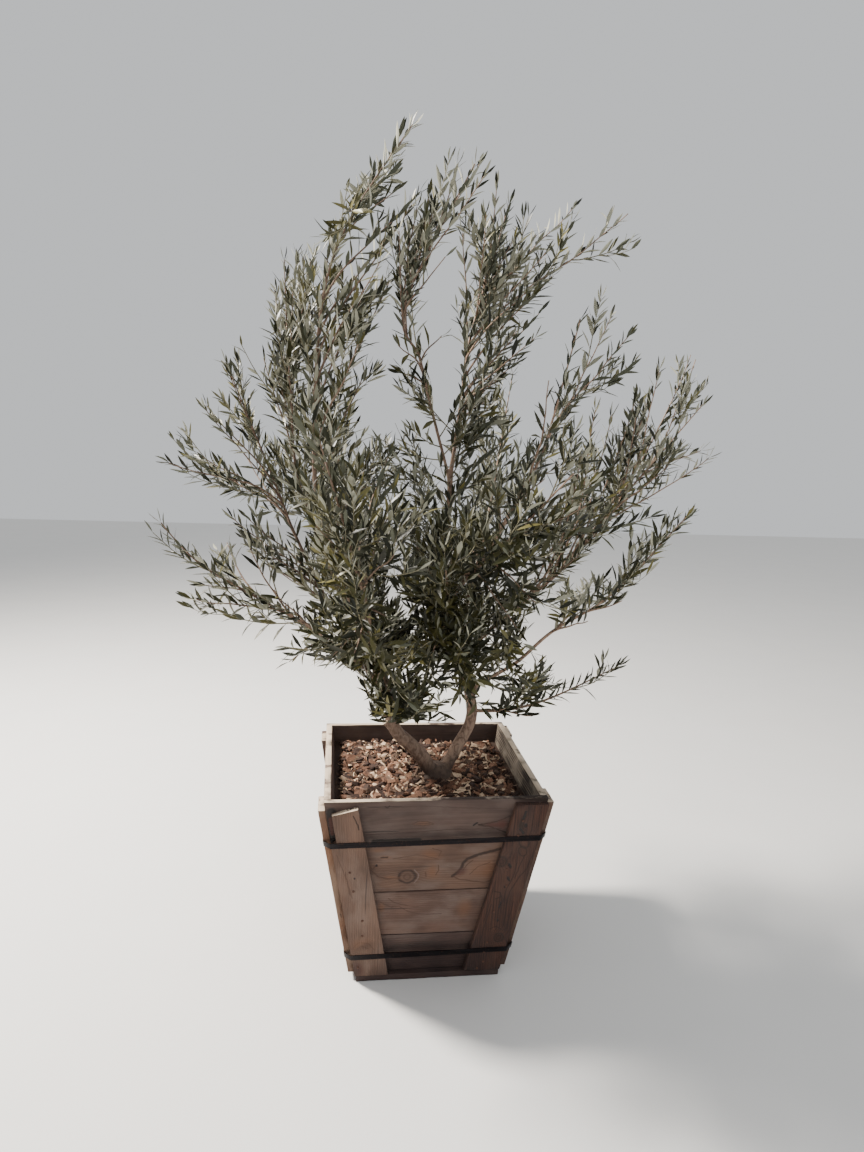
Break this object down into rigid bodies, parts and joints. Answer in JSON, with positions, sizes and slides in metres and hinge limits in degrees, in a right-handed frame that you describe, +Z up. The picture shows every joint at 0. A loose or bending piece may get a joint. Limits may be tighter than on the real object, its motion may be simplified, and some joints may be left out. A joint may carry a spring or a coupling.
{
  "type": "potted olive tree",
  "caption": "Young olive tree, forked at the ground, with an open upswept crown, in a square tapered planter of worn boards held by flat steel bands.",
  "frame": {"origin": "middle of the planter's underside, at ground level", "axes": "+Z up; -Y out of the planter's front wall, the one whose left batten has split; +X to the right seen from the front"},
  "size_m": [1.697, 1.3384, 2.3916],
  "materials": {
    "old_board": "bare softwood, weathered and stained",
    "strap_steel": "dark, dull banding steel",
    "bark_mulch": "earth under a layer of reddish bark chips",
    "bark": "grey-brown young bark, rough",
    "olive_leaf": "dark green leaves, silvery underneath"
  },
  "bodies": {
    "root": {"slat_front_1": "old_board", "slat_front_2": "old_board", "slat_front_3": "old_board", "slat_front_4": "old_board", "slat_front_5": "old_board", "slat_right_1": "old_board", "slat_right_2": "old_board", "slat_right_3": "old_board", "slat_right_4": "old_board", "slat_back_1": "old_board", "slat_back_2": "old_board", "slat_back_3": "old_board", "slat_back_4": "old_board", "slat_left_1": "old_board", "slat_left_2": "old_board", "slat_left_3": "old_board", "slat_left_4": "old_board", "batten_front_a": "old_board", "batten_front_b": "old_board", "batten_right_a": "old_board", "batten_right_b": "old_board", "batten_back_a": "old_board", "batten_back_b": "old_board", "batten_left_a": "old_board", "batten_left_b": "old_board", "floor": "old_board", "strap_lower": "strap_steel", "strap_upper": "strap_steel", "earth": "bark_mulch", "trunk": "bark", "stem_left": "bark", "stem_right": "bark", "bough_left_up": "bark", "bough_left_mid": "bark", "bough_left_out": "bark", "bough_left_low": "bark", "bough_left_front": "bark", "bough_left_back": "bark", "bough_fork_left": "bark", "bough_fork_right": "bark", "bough_right_up": "bark", "bough_right_out": "bark", "bough_right_low": "bark", "bough_right_back": "bark", "foliage_left_up": "olive_leaf", "foliage_left_mid": "olive_leaf", "foliage_left_out": "olive_leaf", "foliage_left_low": "olive_leaf", "foliage_left_front": "olive_leaf", "foliage_left_back": "olive_leaf", "foliage_fork_left": "olive_leaf", "foliage_fork_right": "olive_leaf", "foliage_right_up": "olive_leaf", "foliage_right_out": "olive_leaf", "foliage_right_low": "olive_leaf", "foliage_right_back": "olive_leaf", "foliage_front_right": "olive_leaf", "foliage_front": "olive_leaf", "foliage_low_front": "olive_leaf", "foliage_low_right": "olive_leaf"}
  },
  "joints": []
}
